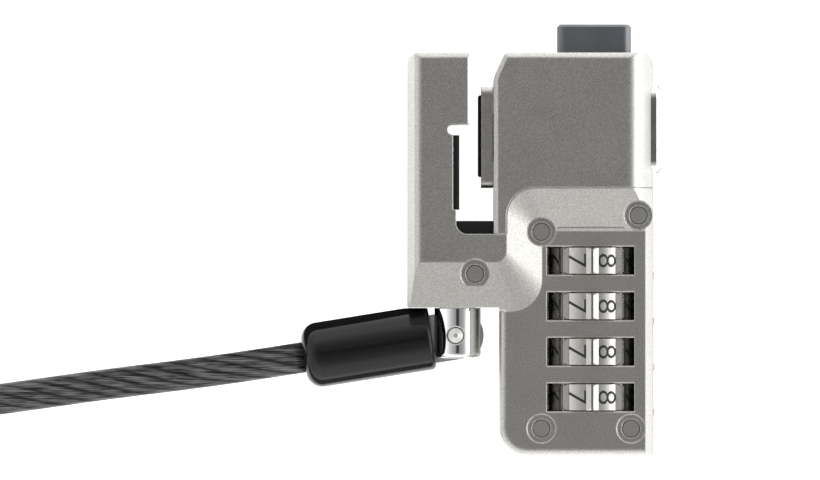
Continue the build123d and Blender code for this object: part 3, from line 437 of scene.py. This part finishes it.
@dataclass
class Numerals:
    """Ten printed figures round each of the four wheels.

    The figure that faces straight up may be a share of a figure's step, because two figures share each window.
    """

    count: int = 10
    height: float = 3.3 * MM
    cap_share: float = 0.69
    curve_steps: int = 6
    thinned: float = 0.035 * MM
    widened: float = 1.2
    ink: float = 0.03 * MM
    face_radius: float = 8.62 * MM
    facing_up: float = 7.5
    cuts: int = 9

    def build(self) -> None:
        """Prints the figures on every wheel."""
        material = INK.make()
        for number in WHEELS:
            low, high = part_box(f"number_wheel_{number}")
            shape = bmesh.new()
            for figure in range(self.count):
                self.add_figure(shape, figure, (low + high) / 2)
            name = f"wheel_{number}_numerals"
            as_piece(name, shape, material, f"wheel_{number}", smooth=False)

    def add_figure(self, shape: bmesh.types.BMesh, figure: int, middle: Vector) -> None:
        """Adds one figure on its face of the wheel.

        Args:
            shape: The shape that the figure joins.
            figure: The figure, 0 to 9.
            middle: The wheel's middle.
        """
        mesh = self.bent(self.figure_mesh(figure))
        step = 360.0 / self.count
        turn = Matrix.Rotation(math.radians(step * (figure - self.facing_up)), 4, "Y")
        upright = Matrix(((0, 1, 0, 0), (-1, 0, 0, 0), (0, 0, 1, 0), (0, 0, 0, 1)))
        mesh.transform(Matrix.Translation(middle) @ turn @ upright)
        shape.from_mesh(mesh)
        bpy.data.meshes.remove(mesh)

    def figure_mesh(self, figure: int) -> bpy.types.Mesh:
        """Draws one figure about the origin, upright in the XY plane.

        Args:
            figure: The figure, 0 to 9.

        Returns:
            Its mesh.
        """
        curve = bpy.data.curves.new(f"figure_{figure}", "FONT")
        curve.body = str(figure)
        curve.size = self.height / self.cap_share
        curve.offset = -self.thinned
        curve.extrude = self.ink / 2
        curve.resolution_u = self.curve_steps
        drawn = bpy.data.objects.new(curve.name, curve)
        mesh = bpy.data.meshes.new_from_object(drawn)
        bpy.data.objects.remove(drawn)
        corners = [vertex.co for vertex in mesh.vertices]
        low = Vector(min(c[k] for c in corners) for k in range(3))
        high = Vector(max(c[k] for c in corners) for k in range(3))
        tall = self.height / (high.y - low.y)
        middle = (low + high) / 2
        mesh.transform(Matrix.Diagonal((tall * self.widened, tall, 1.0, 1.0)) @ Matrix.Translation(-middle))
        return mesh

    def bent(self, mesh: bpy.types.Mesh) -> bpy.types.Mesh:
        """Bends a figure about the wheel's axis.

        Args:
            mesh: The figure, flat about the origin.

        Returns:
            The same mesh, its middle on the wheel's face.
        """
        shape = bmesh.new()
        shape.from_mesh(mesh)
        for number in range(1, self.cuts + 1):
            height = self.height * (number / (self.cuts + 1) - 0.5)
            parts = [*shape.verts, *shape.edges, *shape.faces]
            bmesh.ops.bisect_plane(shape, geom=parts, plane_co=(0.0, height, 0.0), plane_no=(0.0, 1.0, 0.0))
        for vertex in shape.verts:
            angle, radius = vertex.co.y / self.face_radius, self.face_radius + vertex.co.z
            vertex.co.y, vertex.co.z = radius * math.sin(angle), radius * math.cos(angle)
        shape.to_mesh(mesh)
        shape.free()
        return mesh


@dataclass
class CableSpline:
    """A smooth open spline, and a round tube that follows it."""

    name: str
    route: list[Point]
    resolution: int = 8

    def points(self) -> list[Vector]:
        """Reads the points of the drawn spline.

        Returns:
            The points, in order, close enough together to look smooth.
        """
        curve = bpy.data.curves.new(self.name, "CURVE")
        curve.dimensions = "3D"
        spline = curve.splines.new("NURBS")
        spline.points.add(len(self.route) - 1)
        for control, place in zip(spline.points, self.route):
            control.co = (*place, 1.0)
        spline.order_u = 3
        spline.use_endpoint_u = True
        spline.resolution_u = self.resolution
        drawn = bpy.data.objects.new(self.name, curve)
        mesh = bpy.data.meshes.new_from_object(drawn)
        bpy.data.objects.remove(drawn)
        found = [vertex.co.copy() for vertex in mesh.vertices]
        bpy.data.meshes.remove(mesh)
        return found

    def tube(self, points: list[Vector], radius: float, sides: int) -> bmesh.types.BMesh:
        """Extrudes a ring along the points, with UVs round it and along it.

        Args:
            points: The points to follow.
            radius: The tube's radius.
            sides: Faces round it.

        Returns:
            The closed tube.
        """
        shape = bmesh.new()
        around = shape.verts.layers.int.new("around")
        along = shape.verts.layers.float.new("along")
        ways = [(after - before).normalized() for before, after in zip(points, points[1:])]
        facing = [ways[0]] + [(a + b).normalized() for a, b in zip(ways, ways[1:])] + [ways[-1]]
        turn = Vector((0.0, 0.0, 1.0)).rotation_difference(facing[0]).to_matrix().to_4x4()
        first = bmesh.ops.create_circle(shape, cap_ends=True, segments=sides, radius=radius,
                                        matrix=Matrix.Translation(points[0]) @ turn)
        for number, vertex in enumerate(first["verts"]):
            vertex[around] = number
        rim = list(shape.edges)
        for number in range(1, len(points)):
            grown = bmesh.ops.extrude_edge_only(shape, edges=rim)["geom"]
            ring = [item for item in grown if isinstance(item, bmesh.types.BMVert)]
            rim = [item for item in grown if isinstance(item, bmesh.types.BMEdge)]
            step = facing[number - 1].rotation_difference(facing[number]).to_matrix().to_4x4()
            move = Matrix.Translation(points[number]) @ step @ Matrix.Translation(-points[number - 1])
            bmesh.ops.transform(shape, matrix=move, verts=ring)
            travelled = (points[number] - points[number - 1]).length + ring[0][along]
            for vertex in ring:
                vertex[along] = travelled
        bmesh.ops.edgeloop_fill(shape, edges=rim)
        bmesh.ops.recalc_face_normals(shape, faces=shape.faces)
        self.unwrap(shape, around, along, sides)
        return shape

    def unwrap(self, shape: bmesh.types.BMesh, around: bmesh.types.BMLayerItem,
               along: bmesh.types.BMLayerItem, sides: int) -> None:
        """Writes the tube's UVs: U the share of the way round, V the distance along in metres.

        Args:
            shape: The tube.
            around: The layer that numbers the points round each ring.
            along: The layer that holds each ring's distance.
            sides: Faces round the tube.
        """
        layer = shape.loops.layers.uv.new("UVMap")
        for face in shape.faces:
            numbers = [loop.vert[around] for loop in face.loops]
            closing = len(numbers) == 4 and max(numbers) - min(numbers) > 1
            for loop, number in zip(face.loops, numbers):
                number = sides if closing and number == 0 else number
                loop[layer].uv = (number / sides, loop.vert[along])


@dataclass
class LockCable:
    """The captive cable: from the sleeve along the table, seven put-away turns, and a crimped eye.

    Points, radii and heights are in millimetres. A turn is counted from the coil's lower edge, and each move to
    the next row or level takes a quarter of it, from the share of the turn that is named.
    """

    diameter: float = 5.5 * MM
    sides: int = 24
    lead: tuple[Point, ...] = (
        (-41.046, -20.876, 10.8),
        (-51.516, -22.534, 10.8),
        (-63.0, -24.1, 8.6),
        (-76.0, -25.7, 4.9),
        (-90.0, -27.7, 2.85),
        (-105.0, -29.8, 2.75),
        (-119.0, -31.5, 2.75),
    )
    tail: tuple[Point, ...] = (
        (-157.0, -32.3, 8.1),
        (-170.0, -32.3, 6.3),
        (-183.0, -33.2, 3.8),
        (-196.0, -33.4, 3.25),
    )
    eye: tuple[Point, ...] = (
        (-209.6, -30.55, 3.25),
        (-218.0, -29.05, 3.25),
        (-230.0, -21.15, 3.25),
        (-251.25, -22.37, 3.25),
        (-251.25, -44.43, 3.25),
        (-230.0, -45.65, 3.25),
        (-218.0, -37.75, 3.25),
        (-209.6, -36.25, 3.25),
    )
    centre: tuple[float, float] = (-142.5, 6.75)
    rows: tuple[float, ...] = (39.25, 33.75, 28.25, 22.75)
    levels: tuple[float, float] = (2.75, 8.25)
    turn_points: int = 16
    move: float = 0.25
    inward_from: float = 0.75
    rise_from: float = 0.5
    outward_from: float = 0.25

    def coil(self) -> list[Point]:
        """Works out the put-away turns: inwards on the table, then outwards on top of those.

        Returns:
            The turns' points in millimetres.
        """
        inwards = len(self.rows)
        outwards = inwards - 1
        swell = 1.0 / math.cos(math.pi / self.turn_points)
        points = []
        for step in range((inwards + outwards) * self.turn_points + 1):
            turn, share = divmod(step / self.turn_points, 1.0)
            radius, height = self.coil_place(int(turn), share, inwards)
            angle = -math.pi / 2 - 2 * math.pi * share
            x = self.centre[0] + radius * swell * math.cos(angle)
            y = self.centre[1] + radius * swell * math.sin(angle)
            points.append((x, y, height))
        return points

    def coil_place(self, turn: int, share: float, inwards: int) -> tuple[float, float]:
        """Finds how far out and how high a point of the coil is.

        Args:
            turn: Whole turns before it.
            share: The share of its own turn.
            inwards: Turns that lie on the table.

        Returns:
            Its radius and height in millimetres.
        """
        pitch = self.rows[0] - self.rows[1]
        if turn < inwards - 1:
            return self.rows[turn] - pitch * eased((share - self.inward_from) / self.move), self.levels[0]
        if turn == inwards - 1:
            rise = self.levels[1] - self.levels[0]
            return self.rows[-1], self.levels[0] + rise * eased((share - self.rise_from) / self.move)
        row = min(turn - inwards, inwards - 2)
        moved = 1.0 if turn - inwards > row else eased((share - self.outward_from) / self.move)
        return self.rows[-1] + pitch * (row + moved), self.levels[1]

    def route(self) -> list[Point]:
        """Gives the cable's whole route, from the sleeve to the crimp.

        Returns:
            The route's points in metres.
        """
        return [tuple(MM * part for part in point) for point in (*self.lead, *self.coil(), *self.tail)]

    def build(self, route: list[Point]) -> None:
        """Args:
            route: The cable's route in metres.
        """
        material = StrandFinish().make()
        spline = CableSpline("lock_cable_line", route)
        points = spline.points()
        shape = spline.tube(points, self.diameter / 2, self.sides)
        cable = as_piece("lock_cable", shape, material, "cable_end")
        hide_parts("cable_lead", "cable_coil", "cable_tail")
        loop = CableSpline("cable_eye_line", [tuple(MM * part for part in point) for point in self.eye])
        shape = loop.tube(loop.points(), self.diameter / 2, self.sides)
        eye = as_piece("cable_eye", shape, material, "cable_end")
        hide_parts("eye_loop")


def eased(share: float) -> float:
    """Eases from 0 to 1.

    Args:
        share: The share of the way, clamped to 0 and 1.

    Returns:
        The eased share.
    """
    share = min(max(share, 0.0), 1.0)
    return share * share * (3.0 - 2.0 * share)


# ---------------------------------------------------------------- studio
@dataclass(frozen=True)
class Card:
    """A grey rectangle between two opposite corners in millimetres, flat or on edge."""

    low: Point
    high: Point
    shade: float

    def place(self) -> Matrix:
        """Works out where a square of side 1 about the origin goes to become the card.

        Returns:
            The matrix, in metres.
        """
        low, high = Vector(self.low) * MM, Vector(self.high) * MM
        across = Vector((high.x - low.x, 0.0, 0.0))
        up = Vector((0.0, high.y - low.y, high.z - low.z))
        columns = Matrix((across, up, across.cross(up).normalized())).transposed()
        return Matrix.Translation((low + high) / 2) @ columns.to_4x4()


@dataclass
class Studio:
    """A pale table, soft light all round it, and a camera straight above.

    The dome's stops give its level by height, from 0 at the horizon to 1 overhead. The sides' stops give a
    factor by direction, from -1 at the hook arm's side to 1 at the push button's.
    """

    camera_height: float = 3.0
    face_height: float = 18.6 * MM
    field_width: float = 145.39 * MM
    look_at: tuple[float, float] = (-22.12 * MM, -0.04 * MM)
    sensor: float = 36.0
    floor_size: float = 1.6
    floor_grey: float = 0.88
    floor_roughness: float = 0.9
    floor_drop: float = 0.05 * MM
    floor_glow: tuple[float, float] = (0.85, 1.2)
    glow_reach: float = 60 * MM
    dome: tuple[tuple[float, float], ...] = (
        (0.0, 0.85), (0.5, 0.85), (0.616, 0.75), (0.809, 0.4), (0.94, 0.215), (0.985, 0.17), (0.996, 0.045),
        (1.0, 0.015))
    sides: tuple[tuple[float, float], ...] = (
        (-1.0, 0.42), (-0.78, 0.34), (-0.66, 0.4), (-0.31, 0.5), (0.0, 0.5), (0.22, 0.42), (0.42, 0.38),
        (0.56, 0.42), (0.656, 0.58), (0.755, 0.82), (0.83, 1.0), (0.883, 1.0), (0.95, 1.0), (1.0, 1.0))
    card_roughness: float = 0.9
    cards: tuple[Card, ...] = (
        Card((-26.0, -24.0, 0.02), (-19.0, -12.5, 0.02), 0.01),
        Card((-9.5, -24.0, 0.02), (-6.6, -12.5, 0.02), 0.01),
        Card((23.0, -42.0, 0.02), (31.0, 40.0, 0.02), 0.01),
        Card((-90.0, -12.2, 0.02), (-19.0, -12.2, 14.0), 0.01),
        Card((-90.0, -39.0, 0.02), (-8.0, -39.0, 11.0), 0.2),
    )
    strength: float = 4.0

    def place_camera(self) -> None:
        """Puts the camera straight above the lock."""
        data = bpy.data.cameras.new("camera")
        data.sensor_width = self.sensor
        data.lens = self.sensor * self.camera_height / self.field_width
        camera = bpy.data.objects.new("camera", data)
        camera.location = (*self.look_at, self.camera_height + self.face_height)
        bpy.context.scene.collection.objects.link(camera)
        bpy.context.scene.camera = camera

    def lay_floor(self) -> None:
        """Lays the pale table."""
        tree = NodeTree("pale_table")
        shader = tree.shader.inputs
        tree.feed(shader["Base Color"], (*[self.floor_grey] * 3, 1.0))
        tree.feed(shader["Roughness"], self.floor_roughness)
        tree.feed(shader["Emission Color"], (1.0, 1.0, 1.0, 1.0))
        place = tree.add("ShaderNodeTexCoord").outputs["Object"]
        across = tree.add("ShaderNodeSeparateXYZ", {0: place}).outputs["X"]
        glow = tree.spread(across, (-self.glow_reach, self.glow_reach), self.floor_glow)
        tree.feed(shader["Emission Strength"], glow)
        shape = bmesh.new()
        bmesh.ops.create_grid(shape, x_segments=1, y_segments=1, size=self.floor_size)
        mesh = bpy.data.meshes.new("floor")
        shape.to_mesh(mesh)
        shape.free()
        mesh.materials.append(tree.material)
        floor = bpy.data.objects.new("floor", mesh)
        bpy.context.scene.collection.objects.link(floor)
        floor.location.z = -self.floor_drop

    def set_cards(self) -> None:
        """Sets cards beside the polished parts, flat or on edge, which only reflections show."""
        for number, card in enumerate(self.cards, 1):
            name = f"card_{number}"
            shape = bmesh.new()
            bmesh.ops.create_grid(shape, x_segments=1, y_segments=1, size=0.5, matrix=card.place())
            mesh = bpy.data.meshes.new(name)
            shape.to_mesh(mesh)
            shape.free()
            grey = (card.shade, card.shade, card.shade)
            mesh.materials.append(Finish(name, grey, roughness=self.card_roughness, relief=0.0).make())
            piece = bpy.data.objects.new(name, mesh)
            piece.visible_camera = piece.visible_diffuse = piece.visible_shadow = False
            bpy.context.scene.collection.objects.link(piece)

    def light(self) -> None:
        """Lights the table from a soft dome, dim overhead, brightest at the right."""
        scene = bpy.context.scene
        scene.view_settings.view_transform = "Standard"
        world = bpy.data.worlds.new("dome")
        world.use_nodes = True
        scene.world = world
        nodes, links = world.node_tree.nodes, world.node_tree.links
        place = nodes.new("ShaderNodeTexCoord")
        parts = nodes.new("ShaderNodeSeparateXYZ")
        links.new(place.outputs["Generated"], parts.inputs[0])
        height = self.ramp(nodes, self.dome)
        links.new(parts.outputs["Z"], height.inputs[0])
        share = nodes.new("ShaderNodeMath")
        share.operation = "MULTIPLY_ADD"
        share.inputs[1].default_value = share.inputs[2].default_value = 0.5
        links.new(parts.outputs["X"], share.inputs[0])
        across = self.ramp(nodes, [(0.5 + 0.5 * place, level) for place, level in self.sides])
        links.new(share.outputs[0], across.inputs[0])
        strength = nodes.new("ShaderNodeMath")
        strength.operation = "MULTIPLY"
        strength.inputs[1].default_value = self.strength
        links.new(across.outputs["Color"], strength.inputs[0])
        background = nodes["Background"]
        links.new(height.outputs["Color"], background.inputs["Color"])
        links.new(strength.outputs[0], background.inputs["Strength"])

    def ramp(self, nodes: bpy.types.Nodes, stops: list[tuple[float, float]]) -> bpy.types.Node:
        """Adds a ramp of greys.

        Args:
            nodes: The nodes that it joins.
            stops: Each stop's place and level.

        Returns:
            The ramp.
        """
        ramp = nodes.new("ShaderNodeValToRGB")
        elements = ramp.color_ramp.elements
        elements[0].position, elements[0].color = stops[0][0], (*[stops[0][1]] * 3, 1.0)
        elements[1].position, elements[1].color = stops[-1][0], (*[stops[-1][1]] * 3, 1.0)
        for place, level in stops[1:-1]:
            elements.new(place).color = (level, level, level, 1.0)
        return ramp


def main() -> None:
    """Builds everything in order."""
    logging.basicConfig(level=logging.INFO, format="%(name)s: %(message)s")
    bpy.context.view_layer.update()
    studio = Studio()
    studio.place_camera()
    cable = LockCable()
    cable.build(cable.route())
    FrameParts().dress()
    Numerals().build()
    studio.lay_floor()
    studio.set_cards()
    studio.light()


if __name__ == "__main__":
    main()
